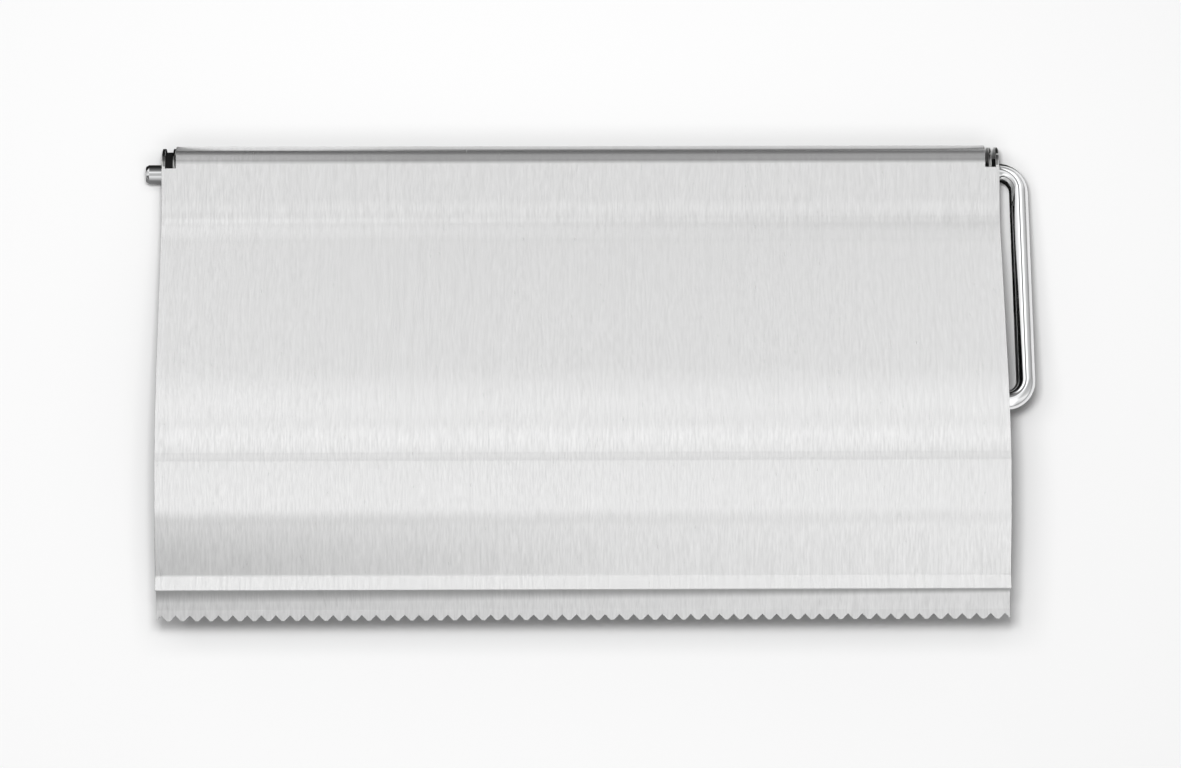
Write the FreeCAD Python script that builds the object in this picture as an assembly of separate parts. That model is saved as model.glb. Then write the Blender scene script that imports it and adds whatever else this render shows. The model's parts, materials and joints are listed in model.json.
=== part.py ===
import FreeCAD, Part
import math
import os

# Wall paper towel holder in brushed stainless sheet and chromed rod.
# Millimetres. X runs to the right as seen from the room, Y points into the wall, Z is up.
# The origin is on the wall, midway between the two screw holes.

# Overall arrangement
AXLE_FROM_WALL = 13.0        # hinge line in front of the wall
AXLE_ABOVE_SCREWS = 22.0     # hinge line above the row of screw holes
HOLDER_WIDTH = 258.0         # over the ears, and the width of the cover
SIDE_PLAY = 0.1              # axial play in each stack of bush flanges
BUSH_PLAY = 0.05             # radial clearance of everything that fits on the hinge line
STOP_PLAY = 0.1              # gap left at a stop, at rest

# Back plate, with an ear folded forward at each side
PLATE_THICKNESS = 1.0
PLATE_BOTTOM_BELOW_AXLE = 42.0
PLATE_LIP_DEPTH = 5.0        # stiffening lip folded forward along the lower edge
PLATE_LIP_END_GAP = 4.0      # from the lip's end to the ear
FOLD_RADIUS = 0.6            # inside radius of every sharp fold
SCREW_SPACING = 200.0
SCREW_HOLE = 5.0
EAR_CLEARANCE = 0.3          # between the ear's round nose and the cover that swings round it
EAR_BACK_SLOPE = 55.0        # fall of the ear's upper edge towards the wall, in degrees
EAR_DROP = 30.0              # lowest point of the ear below the hinge line

# Rod
ROD_DIAMETER = 5.8
ROD_BEND_RADIUS = 6.4        # to the rod's centre line
ROD_PROUD_LEFT = 5.3         # bare end of the axle beyond the left ear
ROD_CHAMFER_LENGTH = 0.95     # along the rod, at both ends
ROD_CHAMFER_DEPTH = 0.55      # taken off the radius
ARM_DROP = 74.5              # from the axle to the lower leg, centre to centre
ARM_TILT = 18.9              # forward lean of the arm at rest, in degrees
LEG_FREE_END = 116.0         # lower leg's free end, to the left of the middle
LIMB_CLEAR = 0.1             # straight rod between the right ear and the bend

# Nylon bushes and stop cam
BUSH_WALL = 0.7
BUSH_FLANGE_DIAMETER = 8.8
BUSH_FLANGE = 0.6
CAM_THICKNESS = 1.0          # web and heel, between the two bush flanges
CAM_RADIUS = 6.8             # hub, as wide as the gap from ear to tab
CAM_RECESS_PLAY = 0.1        # round each bush flange, in the hub's recesses
CAM_HEEL_TOP = 3.0           # top of the heel below the hinge line
CAM_HEEL_BOTTOM = 8.5
ROD_FLATS = 4.6              # across the two flats that carry the cam

# Cover, its profile given along the outer face from the hood's rear edge downwards
COVER_THICKNESS = 0.8
COVER_AHEAD = 9.0            # front face ahead of the hinge line
HOOD_ABOVE_AXLE = 8.4        # top of the hood above the hinge line
HOOD_RADIUS = 5.5
HOOD_TAIL = 3.0              # the hood's flat top runs this far behind the hinge line
NECK_BELOW_AXLE = 7.0        # the flat neck ends here
NECK_RADIUS = 30.0
SLOPE_ANGLE = 27.6           # from the vertical, in degrees
SWEEP_RADIUS = 110.0         # gentle curve at the foot of the slope
SWEEP_ANGLE = 14.0           # of the slope's lean that the sweep takes up
BELLY_DEPTH = 33.8           # belly ahead of the neck
BELLY_RADIUS = 12.0          # crease between the sweep and the belly
BELLY_HEIGHT = 13.45         # flat upright stretch
TUCK_RADIUS = 40.0
TUCK_ANGLE = 9.0             # lean back under the belly, in degrees
TUCK_LENGTH = 14.5
LIP_RADIUS = 1.5
LIP_ANGLE = 22.0             # outward flare of the lower lip, in degrees
LIP_LENGTH = 4.1
NOTCH_WIDTH = 4.4            # corner notches for the ears
NOTCH_BOTTOM_ABOVE_AXLE = 1.5

# Serrated tear strip behind the lower lip
STRIP_THICKNESS = 0.8
STRIP_INSET = 0.1            # shorter than the cover at each end
STRIP_START = 1.0            # below the top of the tuck
STRIP_LENGTH = 24.4          # flat stretch
STRIP_NOSE_RADIUS = 2.0
STRIP_NOSE_ANGLE = 14.0      # the toothed edge turns outwards, in degrees
STRIP_NOSE_LENGTH = 2.9
TOOTH_PITCH = 4.32
TOOTH_DEPTH = 1.7
TOOTH_ANGLE = 90.0

# Hinge tabs welded inside the cover
TAB_THICKNESS = 0.8
TAB_HEEL_TOP = 3.0           # top of the heel below the hinge line
TAB_HEEL_BOTTOM = 9.0
TAB_FOOT_WIDTH = 14.0
TAB_FOOT_BELOW_NOTCH = 0.5   # the welded foot starts this far below the notch

# Derived places
HALF_WIDTH = HOLDER_WIDTH / 2
ROD_RADIUS = ROD_DIAMETER / 2
BUSH_RADIUS = ROD_RADIUS + BUSH_PLAY + BUSH_WALL
EAR_INNER = HALF_WIDTH - PLATE_THICKNESS
EAR_FLANGE_FACE = EAR_INNER - BUSH_FLANGE
RIGHT_TAB_FLANGE_FACE = EAR_FLANGE_FACE - SIDE_PLAY
LEFT_TAB_FLANGE_FACE = EAR_FLANGE_FACE - CAM_THICKNESS - 2 * SIDE_PLAY
RIGHT_TAB_OUTER = RIGHT_TAB_FLANGE_FACE - BUSH_FLANGE
LEFT_TAB_OUTER = LEFT_TAB_FLANGE_FACE - BUSH_FLANGE
EAR_RADIUS = COVER_AHEAD - COVER_THICKNESS - EAR_CLEARANCE
LIMB_START = HALF_WIDTH + LIMB_CLEAR
AXLE_Y = -AXLE_FROM_WALL
AXLE_Z = AXLE_ABOVE_SCREWS
PLATE_FACE_BEHIND_AXLE = AXLE_FROM_WALL - PLATE_THICKNESS


def yz(ahead, below, x=0.0):
    """A point given by its distance ahead of the hinge line and below it."""
    return FreeCAD.Vector(x, AXLE_Y - ahead, AXLE_Z - below)


def turned(vector, degrees):
    """A vector in the YZ plane, turned from Y towards Z."""
    return FreeCAD.Rotation(FreeCAD.Vector(1, 0, 0), degrees).multVec(vector)


def sheet_path(start, heading, steps):
    """Stations along a folded sheet's outer face: point, direction and the step that led there."""
    direction = turned(FreeCAD.Vector(0, 1, 0), heading)
    stations = [(start, direction, None)]
    for kind, size, turn in steps:
        point, direction, _ = stations[-1]
        if kind == "run":
            stations.append((point + direction * size, direction, (kind, size, turn)))
        else:
            side = math.copysign(1.0, turn)
            centre = point + turned(direction, 90 * side) * size
            end = centre + turned(point - centre, turn)
            stations.append((end, turned(direction, turn), (kind, size, turn)))
    return stations


def face_edges(stations, depth):
    """Edges of the sheet's face that lies this deep under the traced one, on its left."""
    edges = []
    for before, after in zip(stations, stations[1:]):
        first = before[0] + turned(before[1], 90) * depth
        last = after[0] + turned(after[1], 90) * depth
        kind, size, turn = after[2]
        if kind == "run":
            edges.append(Part.LineSegment(first, last).toShape())
            continue
        side = math.copysign(1.0, turn)
        centre = before[0] + turned(before[1], 90 * side) * size
        middle = centre + turned(first - centre, turn / 2)
        edges.append(Part.Arc(first, middle, last).toShape())
    return edges


def sheet(stations, thickness, left, right):
    """A folded sheet between two X positions."""
    outer = face_edges(stations, 0.0)
    inner = face_edges(stations, thickness)
    caps = [
        Part.LineSegment(outer[0].Vertexes[0].Point, inner[0].Vertexes[0].Point).toShape(),
        Part.LineSegment(outer[-1].Vertexes[-1].Point, inner[-1].Vertexes[-1].Point).toShape(),
    ]
    wire = Part.Wire(Part.__sortEdges__(outer + inner + caps))
    profile = Part.Face(wire)
    profile.translate(FreeCAD.Vector(left, 0, 0))
    return profile.extrude(FreeCAD.Vector(right - left, 0, 0))


def disc(radius, left, right):
    """A round solid on the hinge line between two X positions."""
    return Part.makeCylinder(radius, right - left, yz(0, 0, left), FreeCAD.Vector(1, 0, 0))


def box(x_range, y_range, z_range):
    """A block between two corners."""
    corner = FreeCAD.Vector(x_range[0], y_range[0], z_range[0])
    size = [high - low for low, high in (x_range, y_range, z_range)]
    return Part.makeBox(*size, corner)


def plate_from_outline(edges, left, right):
    """A flat plate square to the hinge line."""
    face = Part.Face(Part.Wire(Part.__sortEdges__(edges)))
    face.translate(FreeCAD.Vector(left, 0, 0))
    return face.extrude(FreeCAD.Vector(right - left, 0, 0))


def line(first, last):
    return Part.LineSegment(first, last).toShape()


def on_circle(radius, degrees):
    """A point about the hinge line, the angle counted from straight ahead, over the top."""
    angle = math.radians(degrees)
    return yz(radius * math.cos(angle), -radius * math.sin(angle))


def mirrored(shape):
    return shape.mirror(FreeCAD.Vector(0, 0, 0), FreeCAD.Vector(1, 0, 0))


def rod_chamfer(left_end):
    """What a chamfer takes off the rod's end that stands at this X and looks to the left."""
    start = yz(0, 0, left_end + ROD_CHAMFER_LENGTH)
    direction = FreeCAD.Vector(-1, 0, 0)
    blunt = Part.makeCylinder(ROD_DIAMETER, ROD_CHAMFER_LENGTH, start, direction)
    tip = Part.makeCone(ROD_RADIUS, ROD_RADIUS - ROD_CHAMFER_DEPTH, ROD_CHAMFER_LENGTH, start, direction)
    return blunt.cut(tip)


def tangent_angle(ahead, below, radius, side):
    """Where the line from a point touches a circle on the hinge line, as an angle for on_circle."""
    reach = math.hypot(ahead, below)
    bearing = math.degrees(math.atan2(-below, ahead)) % 360
    return bearing + side * math.degrees(math.acos(radius / reach))


def nose_arc(radius, first_degrees, last_degrees):
    middle = on_circle(radius, (first_degrees + last_degrees) / 2)
    return Part.Arc(on_circle(radius, first_degrees), middle, on_circle(radius, last_degrees)).toShape()


def side_fold(face_ahead, thickness, bottom, top, corner_x, outward_y):
    """Quarter bend between a sheet that faces the room and one square to the hinge line.

    corner_x is the outer X of the square sheet, on the right-hand side of the holder, and
    outward_y is +1 where the facing sheet's outer face looks into the wall, -1 into the room.
    """
    outer = FOLD_RADIUS + thickness
    centre_y = AXLE_Y - face_ahead - outward_y * outer
    centre = FreeCAD.Vector(corner_x - outer, centre_y, bottom)
    tube = Part.makeCylinder(outer, top - bottom, centre)
    tube = tube.cut(Part.makeCylinder(FOLD_RADIUS, top - bottom, centre))
    y_range = sorted((centre_y, centre_y + outward_y * outer))
    return tube.common(box((corner_x - outer, corner_x), y_range, (bottom, top)))


def back_plate():
    """Wall plate: flat sheet, stiffening lip, and the two ears that carry the hinge line."""
    outer = FOLD_RADIUS + PLATE_THICKNESS
    fold_behind = AXLE_FROM_WALL - outer
    slope_start = 90 + EAR_BACK_SLOPE
    slope_point = on_circle(EAR_RADIUS, slope_start)
    slope_run = fold_behind - (slope_point.y - AXLE_Y)
    ear_top = slope_point.z - slope_run * math.tan(math.radians(EAR_BACK_SLOPE))
    plate_bottom = AXLE_Z - PLATE_BOTTOM_BELOW_AXLE
    flat_end = HALF_WIDTH - outer
    flat = box((-flat_end, flat_end), (-PLATE_THICKNESS, 0), (plate_bottom + outer, ear_top))

    lip_path = sheet_path(
        FreeCAD.Vector(0, -PLATE_THICKNESS, plate_bottom + outer), -90.0,
        [("bend", FOLD_RADIUS, -90.0), ("run", PLATE_LIP_DEPTH - outer, 0.0)])
    lip_end = flat_end - PLATE_LIP_END_GAP
    lip = sheet(lip_path, PLATE_THICKNESS, -lip_end, lip_end)

    ear_bottom_point = yz(-fold_behind, EAR_DROP)
    ear_top_point = FreeCAD.Vector(0, AXLE_Y + fold_behind, ear_top)
    lower_touch = tangent_angle(-fold_behind, EAR_DROP, EAR_RADIUS, 1) - 360
    ear = plate_from_outline([
        nose_arc(EAR_RADIUS, lower_touch, slope_start),
        line(slope_point, ear_top_point),
        line(ear_top_point, ear_bottom_point),
        line(ear_bottom_point, on_circle(EAR_RADIUS, lower_touch)),
    ], EAR_INNER, HALF_WIDTH)
    ear = ear.fuse(side_fold(-AXLE_FROM_WALL, PLATE_THICKNESS, AXLE_Z - EAR_DROP, ear_top, HALF_WIDTH, 1))
    ear = ear.cut(disc(BUSH_RADIUS + BUSH_PLAY, EAR_INNER, HALF_WIDTH))

    plate = flat.fuse([lip, ear, mirrored(ear)])
    for side in (-1, 1):
        start = FreeCAD.Vector(side * SCREW_SPACING / 2, -PLATE_THICKNESS, 0)
        plate = plate.cut(Part.makeCylinder(SCREW_HOLE / 2, PLATE_THICKNESS, start, FreeCAD.Vector(0, 1, 0)))
    return plate.removeSplitter()


def flanged_bush(flange_face, towards):
    """Nylon bush: its flange face stands at this X, the spigot runs on through the sheet."""
    sheet_thickness = PLATE_THICKNESS if towards > 0 else TAB_THICKNESS
    flange_back = flange_face + towards * BUSH_FLANGE
    spigot_end = flange_back + towards * sheet_thickness
    flange = disc(BUSH_FLANGE_DIAMETER / 2, *sorted((flange_face, flange_back)))
    spigot = disc(BUSH_RADIUS, *sorted((flange_face, spigot_end)))
    bore = disc(ROD_RADIUS + BUSH_PLAY, *sorted((flange_face, spigot_end)))
    return flange.fuse(spigot).cut(bore).removeSplitter()


def roll_arm():
    """One bent rod: hinge axle, side limb and the leg that carries the roll."""
    x_axis = FreeCAD.Vector(1, 0, 0)
    axle_end = -HALF_WIDTH - ROD_PROUD_LEFT
    axle = disc(ROD_RADIUS, axle_end, LIMB_START)
    axle = axle.cut(rod_chamfer(axle_end))
    flat_x = (-LEFT_TAB_FLANGE_FACE - CAM_THICKNESS - 2 * SIDE_PLAY, -LEFT_TAB_FLANGE_FACE)
    for side in (-1, 1):
        y_range = sorted((AXLE_Y + side * ROD_FLATS / 2, AXLE_Y + side * ROD_DIAMETER))
        axle = axle.cut(box(flat_x, y_range, (AXLE_Z - ROD_DIAMETER, AXLE_Z + ROD_DIAMETER)))

    def bend(below, start_angle):
        ring = Part.makeTorus(ROD_BEND_RADIUS, ROD_RADIUS, yz(0, below, LIMB_START), FreeCAD.Vector(0, 1, 0))
        reach = ROD_BEND_RADIUS + ROD_DIAMETER
        centre_z = AXLE_Z - below
        z_range = sorted((centre_z, centre_z + start_angle * reach))
        y_range = (AXLE_Y - ROD_DIAMETER, AXLE_Y + ROD_DIAMETER)
        return ring.common(box((LIMB_START, LIMB_START + reach), y_range, z_range))

    limb_length = ARM_DROP - 2 * ROD_BEND_RADIUS
    limb_foot = yz(0, ARM_DROP - ROD_BEND_RADIUS, LIMB_START + ROD_BEND_RADIUS)
    limb = Part.makeCylinder(ROD_RADIUS, limb_length, limb_foot)
    leg = disc(ROD_RADIUS, -LEG_FREE_END, LIMB_START)
    leg = leg.cut(rod_chamfer(-LEG_FREE_END))
    leg.translate(FreeCAD.Vector(0, 0, -ARM_DROP))
    arm = axle.fuse([bend(ROD_BEND_RADIUS, 1), limb, bend(ARM_DROP - ROD_BEND_RADIUS, -1), leg])
    arm.rotate(yz(0, 0), x_axis, -ARM_TILT)
    return arm.removeSplitter()


def arm_stop_cam():
    """Nylon cam clipped over the axle's flats.

    Its heel rests on the back plate, and its hub fills the gap from ear to tab and houses the
    flanges of the two bushes beside it.
    """
    heel_behind = PLATE_FACE_BEHIND_AXLE - STOP_PLAY
    heel_top = yz(-heel_behind, CAM_HEEL_TOP)
    heel_bottom = yz(-heel_behind, CAM_HEEL_BOTTOM)
    upper_touch = tangent_angle(-heel_behind, CAM_HEEL_TOP, CAM_RADIUS, -1)
    lower_touch = tangent_angle(-heel_behind, CAM_HEEL_BOTTOM, CAM_RADIUS, 1) - 360
    left = -LEFT_TAB_FLANGE_FACE - CAM_THICKNESS - SIDE_PLAY
    right = left + CAM_THICKNESS
    cam = plate_from_outline([
        nose_arc(CAM_RADIUS, lower_touch, upper_touch),
        line(on_circle(CAM_RADIUS, upper_touch), heel_top),
        line(heel_top, heel_bottom),
        line(heel_bottom, on_circle(CAM_RADIUS, lower_touch)),
    ], left, right)
    hub_left = left - BUSH_FLANGE
    hub_right = right + BUSH_FLANGE
    recess = BUSH_FLANGE_DIAMETER / 2 + CAM_RECESS_PLAY
    hub = disc(CAM_RADIUS, hub_left, hub_right)
    hub = hub.cut([disc(recess, hub_left, left), disc(recess, right, hub_right)])
    cam = cam.fuse(hub)
    half_slot = ROD_FLATS / 2 + BUSH_PLAY
    seat_radius = ROD_RADIUS + BUSH_PLAY
    slot_y = (AXLE_Y - half_slot, AXLE_Y + half_slot)
    mouth = box((hub_left, hub_right), slot_y, (AXLE_Z - 2 * CAM_RADIUS, AXLE_Z))
    crown = box((hub_left, hub_right), slot_y, (AXLE_Z, AXLE_Z + CAM_RADIUS))
    seat = disc(seat_radius, hub_left, hub_right).common(crown)
    slot = mouth.fuse(seat)
    slot.rotate(yz(0, 0), FreeCAD.Vector(1, 0, 0), -ARM_TILT)
    return cam.cut(slot).removeSplitter()


def cover_path():
    """Outer face of the cover, from the hood's rear edge to the lower lip."""
    slope = math.radians(SLOPE_ANGLE)
    crease = math.radians(SLOPE_ANGLE - SWEEP_ANGLE)
    neck_depth = NECK_RADIUS * (1 - math.cos(slope))
    sweep_depth = SWEEP_RADIUS * (math.cos(crease) - math.cos(slope))
    crease_depth = BELLY_RADIUS * (1 - math.cos(crease))
    slope_length = (BELLY_DEPTH - neck_depth - sweep_depth - crease_depth) / math.sin(slope)
    return sheet_path(yz(-HOOD_TAIL, -HOOD_ABOVE_AXLE), 180.0, [
        ("run", HOOD_TAIL + COVER_AHEAD - HOOD_RADIUS, 0.0),
        ("bend", HOOD_RADIUS, 90.0),
        ("run", HOOD_ABOVE_AXLE - HOOD_RADIUS + NECK_BELOW_AXLE, 0.0),
        ("bend", NECK_RADIUS, -SLOPE_ANGLE),
        ("run", slope_length, 0.0),
        ("bend", SWEEP_RADIUS, SWEEP_ANGLE),
        ("bend", BELLY_RADIUS, SLOPE_ANGLE - SWEEP_ANGLE),
        ("run", BELLY_HEIGHT, 0.0),
        ("bend", TUCK_RADIUS, TUCK_ANGLE),
        ("run", TUCK_LENGTH, 0.0),
        ("bend", LIP_RADIUS, -TUCK_ANGLE - LIP_ANGLE),
        ("run", LIP_LENGTH, 0.0),
    ])


def cover():
    """Hinged cover with a notch at each end of the hood."""
    shell = sheet(cover_path(), COVER_THICKNESS, -HALF_WIDTH, HALF_WIDTH)
    top = AXLE_Z + 2 * HOOD_ABOVE_AXLE
    depth = (AXLE_Y - 2 * COVER_AHEAD, 0)
    notch = box((HALF_WIDTH - NOTCH_WIDTH, HALF_WIDTH), depth, (AXLE_Z + NOTCH_BOTTOM_ABOVE_AXLE, top))
    return shell.cut([notch, mirrored(notch)])


def tear_strip():
    """Serrated strip whose flat stretch lies against the back of the cover's tuck."""
    point, direction, _ = cover_path()[-4]
    start = point + turned(direction, 90) * COVER_THICKNESS + direction * STRIP_START
    heading = math.degrees(math.atan2(direction.z, direction.y))
    path = sheet_path(start, heading, [
        ("run", STRIP_LENGTH, 0.0),
        ("bend", STRIP_NOSE_RADIUS, -STRIP_NOSE_ANGLE),
        ("run", STRIP_NOSE_LENGTH, 0.0),
    ])
    half = HALF_WIDTH - STRIP_INSET
    strip = sheet(path, STRIP_THICKNESS, -half, half)
    tip = path[-1][0]
    reach = 4 * STRIP_THICKNESS
    under = 0.1 * TOOTH_DEPTH
    half_mouth = (TOOTH_DEPTH + under) * math.tan(math.radians(TOOTH_ANGLE / 2))
    notch_count = round(2 * half / TOOTH_PITCH)
    notches = []
    for index in range(notch_count):
        middle = (index - (notch_count - 1) / 2) * TOOTH_PITCH
        corners = [
            FreeCAD.Vector(middle - half_mouth, tip.y - reach, tip.z - under),
            FreeCAD.Vector(middle + half_mouth, tip.y - reach, tip.z - under),
            FreeCAD.Vector(middle, tip.y - reach, tip.z + TOOTH_DEPTH),
        ]
        outline = Part.makePolygon(corners + corners[:1])
        notches.append(Part.Face(outline).extrude(FreeCAD.Vector(0, 2 * reach, 0)))
    return strip.cut(notches)


def hinge_tab(outer_face):
    """Right-hand tab of the cover: a plate on the hinge line with a foot welded to the neck."""
    outer = FOLD_RADIUS + TAB_THICKNESS
    back_of_cover = COVER_AHEAD - COVER_THICKNESS
    fold_ahead = back_of_cover - outer
    foot_top_above = NOTCH_BOTTOM_ABOVE_AXLE - TAB_FOOT_BELOW_NOTCH
    heel_behind = PLATE_FACE_BEHIND_AXLE - STOP_PLAY
    nose_start = math.degrees(math.asin(foot_top_above / EAR_RADIUS))
    upper_touch = tangent_angle(-heel_behind, TAB_HEEL_TOP, EAR_RADIUS, -1)
    corners = [
        on_circle(EAR_RADIUS, upper_touch),
        yz(-heel_behind, TAB_HEEL_TOP),
        yz(-heel_behind, TAB_HEEL_BOTTOM),
        yz(fold_ahead, NECK_BELOW_AXLE),
        yz(fold_ahead, -foot_top_above),
        on_circle(EAR_RADIUS, nose_start),
    ]
    edges = [line(first, last) for first, last in zip(corners, corners[1:])]
    inner_face = outer_face - TAB_THICKNESS
    tab = plate_from_outline(edges + [nose_arc(EAR_RADIUS, nose_start, upper_touch)], inner_face, outer_face)
    bottom = AXLE_Z - NECK_BELOW_AXLE
    top = AXLE_Z + foot_top_above
    fold = side_fold(back_of_cover, TAB_THICKNESS, bottom, top, outer_face, -1)
    foot_end = outer_face - outer
    foot_y = (AXLE_Y - back_of_cover, AXLE_Y - back_of_cover + TAB_THICKNESS)
    foot = box((foot_end - TAB_FOOT_WIDTH, foot_end), foot_y, (bottom, top))
    tab = tab.fuse([fold, foot]).cut(disc(BUSH_RADIUS + BUSH_PLAY, inner_face, outer_face))
    return tab.removeSplitter()


parts = {
    "back_plate": back_plate(),
    "ear_bush_right": flanged_bush(EAR_FLANGE_FACE, 1),
    "ear_bush_left": mirrored(flanged_bush(EAR_FLANGE_FACE, 1)),
    "roll_arm": roll_arm(),
    "arm_stop_cam": arm_stop_cam(),
    "cover": cover(),
    "tear_strip": tear_strip(),
    "hinge_tab_right": hinge_tab(RIGHT_TAB_OUTER),
    "hinge_tab_left": mirrored(hinge_tab(LEFT_TAB_OUTER)),
    "cover_bush_right": flanged_bush(RIGHT_TAB_FLANGE_FACE, -1),
    "cover_bush_left": mirrored(flanged_bush(LEFT_TAB_FLANGE_FACE, -1)),
}

os.makedirs("parts", exist_ok=True)
for name, shape in parts.items():
    shape.exportStep("parts/" + name + ".step")
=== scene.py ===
"""Looks of a wall paper towel holder: brushed hinged cover, serrated strip, bent rod and wall plate.

Run as a script around the packed frame. Metres, in the frame of the packed model: X runs to the
right as seen from the room, Y points into the wall and Z is up.
"""

import json
import math

import bmesh
import bpy
from mathutils import Matrix, Vector


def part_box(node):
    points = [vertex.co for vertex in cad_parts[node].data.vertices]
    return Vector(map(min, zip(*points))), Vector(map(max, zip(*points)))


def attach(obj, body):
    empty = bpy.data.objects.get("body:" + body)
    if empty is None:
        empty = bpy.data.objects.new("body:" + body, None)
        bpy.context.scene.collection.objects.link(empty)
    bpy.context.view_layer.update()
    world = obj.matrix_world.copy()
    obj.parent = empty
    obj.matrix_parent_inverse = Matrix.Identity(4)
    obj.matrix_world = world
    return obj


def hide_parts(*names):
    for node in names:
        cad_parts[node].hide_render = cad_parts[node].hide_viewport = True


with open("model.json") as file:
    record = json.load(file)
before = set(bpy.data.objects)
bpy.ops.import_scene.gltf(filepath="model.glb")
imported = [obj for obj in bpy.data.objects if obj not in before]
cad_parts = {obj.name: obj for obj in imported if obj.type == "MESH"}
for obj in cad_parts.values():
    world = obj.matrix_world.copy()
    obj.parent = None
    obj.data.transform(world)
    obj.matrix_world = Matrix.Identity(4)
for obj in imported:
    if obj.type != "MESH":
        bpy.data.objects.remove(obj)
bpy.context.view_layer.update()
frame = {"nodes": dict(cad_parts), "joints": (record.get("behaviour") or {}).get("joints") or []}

bl_info = {
    "name": "Wall paper towel holder",
    "version": (1, 0, 0),
    "blender": (4, 5, 0),
    "location": "3D View > Sidebar > Towel Holder",
    "description": "Builds the sheet metal, rod and nylon pieces of a wall paper towel holder",
    "category": "Mesh",
}

MM = 0.001
ORIGIN = (0.0, 0.0, 0.0)
X_AXIS = Vector((1.0, 0.0, 0.0))
Y_AXIS = Vector((0.0, 1.0, 0.0))
Z_AXIS = Vector((0.0, 0.0, 1.0))
SAME_POINT = 0.002 * MM  # vertices closer together than this are merged
NEARLY = 0.01 * MM  # allowance where vertices and faces are picked by their place

# Places read from the frame
AXLE = Vector(frame["joints"][0]["pos_m"])
HALF_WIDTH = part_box("cover")[1].x
COVER_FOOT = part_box("cover")[0].z
STRIP_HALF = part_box("tear_strip")[1].x
AXLE_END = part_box("roll_arm")[0].x
RIGHT_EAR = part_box("back_plate")[1].x


def length(title, description, millimetres):
    """A length that the sidebar shows in scene units."""
    return bpy.props.FloatProperty(
        name=title, description=description, default=millimetres * MM, unit="LENGTH", precision=5)


def angle(title, description, degrees):
    """An angle that the sidebar shows in degrees."""
    return bpy.props.FloatProperty(
        name=title, description=description, default=math.radians(degrees), subtype="ANGLE")


def colour(title, description, *rgb):
    """A linear colour."""
    return bpy.props.FloatVectorProperty(
        name=title, description=description, default=rgb, size=3, min=0.0, max=1.0, subtype="COLOR")


def amount(title, description, value):
    """A plain number from nought to one."""
    return bpy.props.FloatProperty(
        name=title, description=description, default=value, min=0.0, max=1.0, subtype="FACTOR")


class TowelHolderCoverSizes(bpy.types.PropertyGroup):
    """The cover's profile along its outer face, and the notches at the hood's ends."""

    thickness: length("Sheet", "Thickness of the cover's sheet", 0.8)
    ahead: length("Ahead", "Neck's face in front of the hinge line", 9.0)
    hood_above: length("Hood top", "Top of the hood above the hinge line", 8.4)
    hood_radius: length("Hood radius", "Outside radius of the rolled hood", 5.5)
    hood_tail: length("Hood tail", "How far the hood's flat top runs behind the hinge line", 3.0)
    neck_below: length("Neck end", "Lower end of the flat neck below the hinge line", 7.0)
    neck_radius: length("Neck radius", "Radius between the neck and the slope", 30.0)
    slope: angle("Slope", "Lean of the long slope from the vertical", 27.6)
    sweep_radius: length("Sweep radius", "Gentle curve at the foot of the slope", 110.0)
    sweep: angle("Sweep", "Share of the slope's lean that the sweep takes up", 14.0)
    belly_depth: length("Belly depth", "Belly's face in front of the neck's", 33.8)
    belly_radius: length("Belly radius", "Radius of the crease between the sweep and the belly", 12.0)
    belly_height: length("Belly height", "Height of the belly's upright stretch", 13.45)
    tuck_radius: length("Tuck radius", "Radius where the belly turns back to the wall", 40.0)
    tuck: angle("Tuck", "Lean of the tuck back to the wall", 9.0)
    tuck_length: length("Tuck length", "Flat stretch of the tuck", 14.5)
    lip_radius: length("Lip radius", "Outside radius where the lip flares out", 1.5)
    lip: angle("Lip flare", "Lean of the lower lip into the room", 22.0)
    lip_length: length("Lip length", "Flat stretch of the lower lip", 4.1)
    notch_width: length("Notch width", "Width of the corner notches for the ears", 4.4)
    notch_above: length("Notch floor", "Lower end of the notches above the hinge line", 1.5)
    edge_round: length("Edge rounding", "Radius left on the sheet's cut edges", 0.14)


class TowelHolderStripSizes(bpy.types.PropertyGroup):
    """The serrated strip behind the cover's lip."""

    thickness: length("Sheet", "Thickness of the strip's sheet", 0.8)
    start: length("Start", "Upper edge below the top of the cover's tuck", 1.0)
    flat: length("Flat stretch", "Length of the strip down to its nose", 24.4)
    nose_radius: length("Nose radius", "Outside radius of the turned edge", 2.0)
    nose: angle("Nose turn", "Turn of the toothed edge into the room", 14.0)
    nose_length: length("Nose length", "Flat stretch that carries the teeth", 2.9)
    pitch: length("Tooth pitch", "Distance from tooth to tooth", 4.32)
    depth: length("Tooth depth", "Depth of the notches between the teeth", 1.7)
    edge_round: length("Edge rounding", "Radius left on the stamped edges", 0.09)


class TowelHolderRodSizes(bpy.types.PropertyGroup):
    """The bent rod: hinge axle, side limb and the leg that carries the roll."""

    diameter: length("Diameter", "Diameter of the rod", 5.8)
    bend_radius: length("Bend radius", "Bend radius to the rod's centre line", 6.4)
    chamfer_length: length("Chamfer length", "Length of the chamfer on both ends", 0.95)
    chamfer_depth: length("Chamfer depth", "What the chamfer takes off the radius", 0.55)
    drop: length("Arm drop", "Leg below the axle, centre to centre", 74.5)
    tilt: angle("Arm tilt", "Forward lean of the arm at rest", 18.9)
    leg_end: length("Leg end", "Free end of the leg, to the left of the middle", 116.0)
    limb_clear: length("Limb clearance", "Straight rod between the right ear and the bend", 0.1)


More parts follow.
